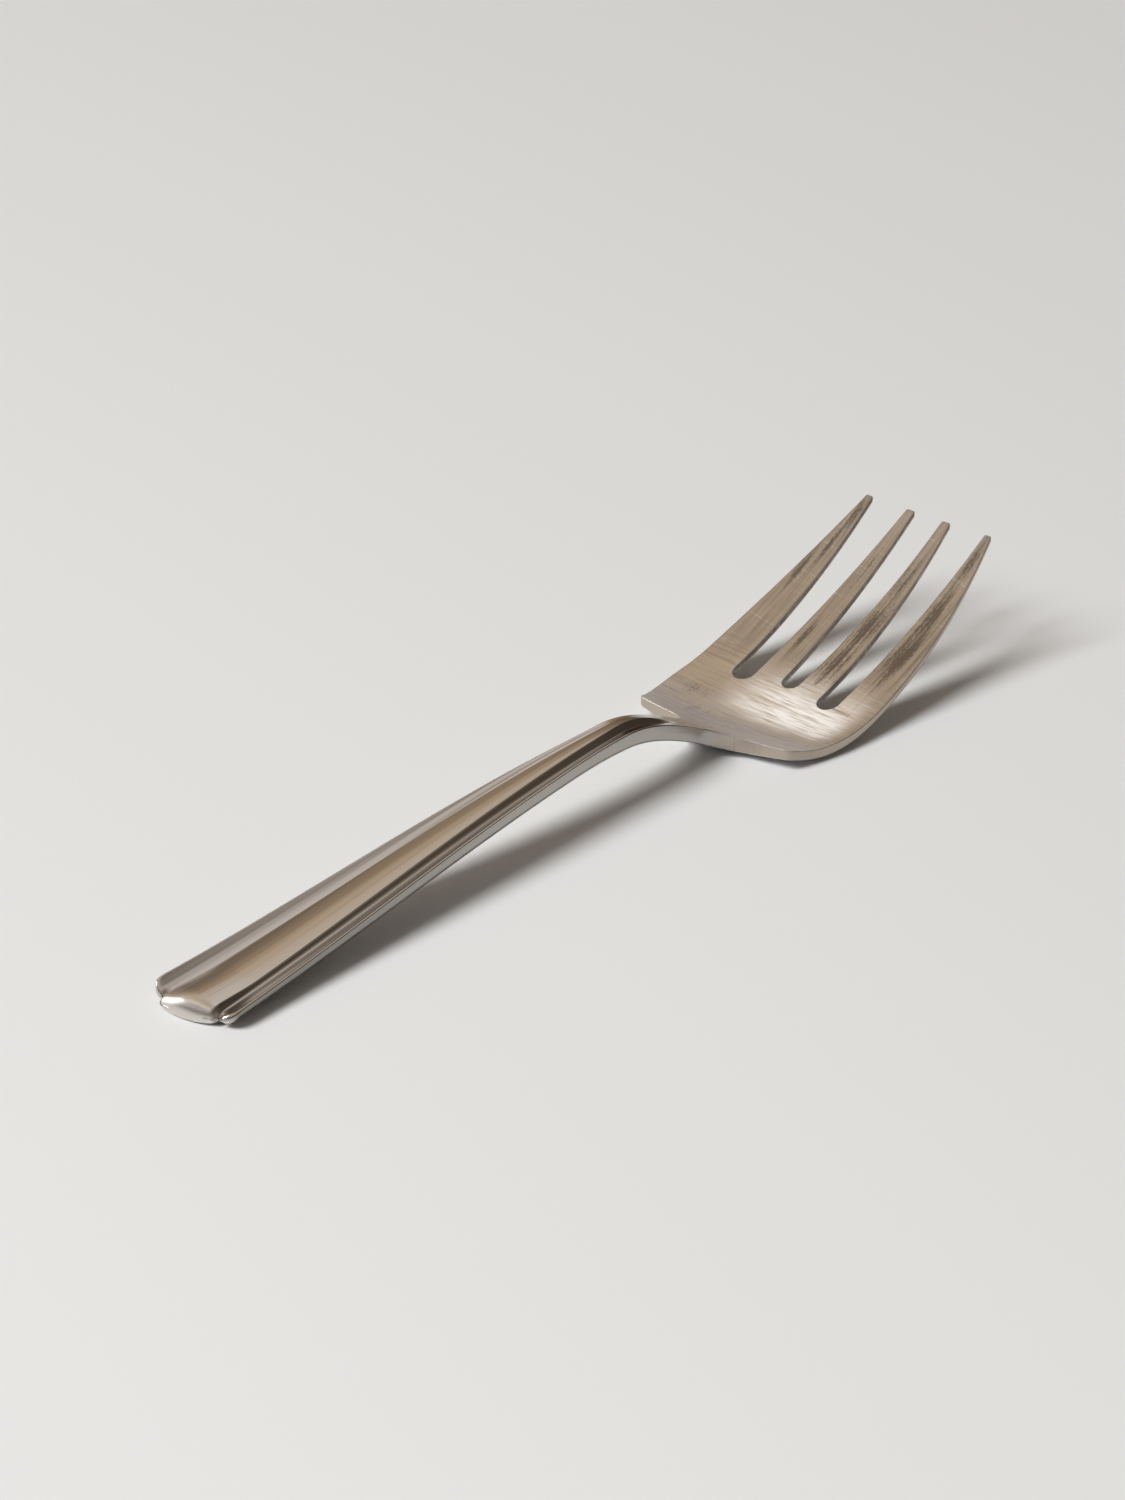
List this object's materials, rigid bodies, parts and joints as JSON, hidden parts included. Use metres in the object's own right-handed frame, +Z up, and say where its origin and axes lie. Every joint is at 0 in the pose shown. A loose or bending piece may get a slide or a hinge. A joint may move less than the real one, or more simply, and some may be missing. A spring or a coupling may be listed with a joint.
{
  "type": "serving fork",
  "caption": "Pressed stainless steel serving fork with a flanged panel handle, arched neck, dished head and slotted tines, for lifting and serving food.",
  "frame": {"origin": "on the table, under the middle of the fork's length and width", "axes": "+X from the handle's end to the tips, +Y to the fork's left, +Z up from the table"},
  "size_m": [0.2054, 0.0418, 0.0246],
  "materials": {
    "handle_steel": "polished, lightly worn",
    "head_steel": "satin, cross-scratched and stained by use"
  },
  "bodies": {
    "root": {"handle": "handle_steel", "neck": "handle_steel", "head": "head_steel", "left_outer_tine": "head_steel", "left_inner_tine": "head_steel", "right_inner_tine": "head_steel", "right_outer_tine": "head_steel"}
  },
  "joints": []
}
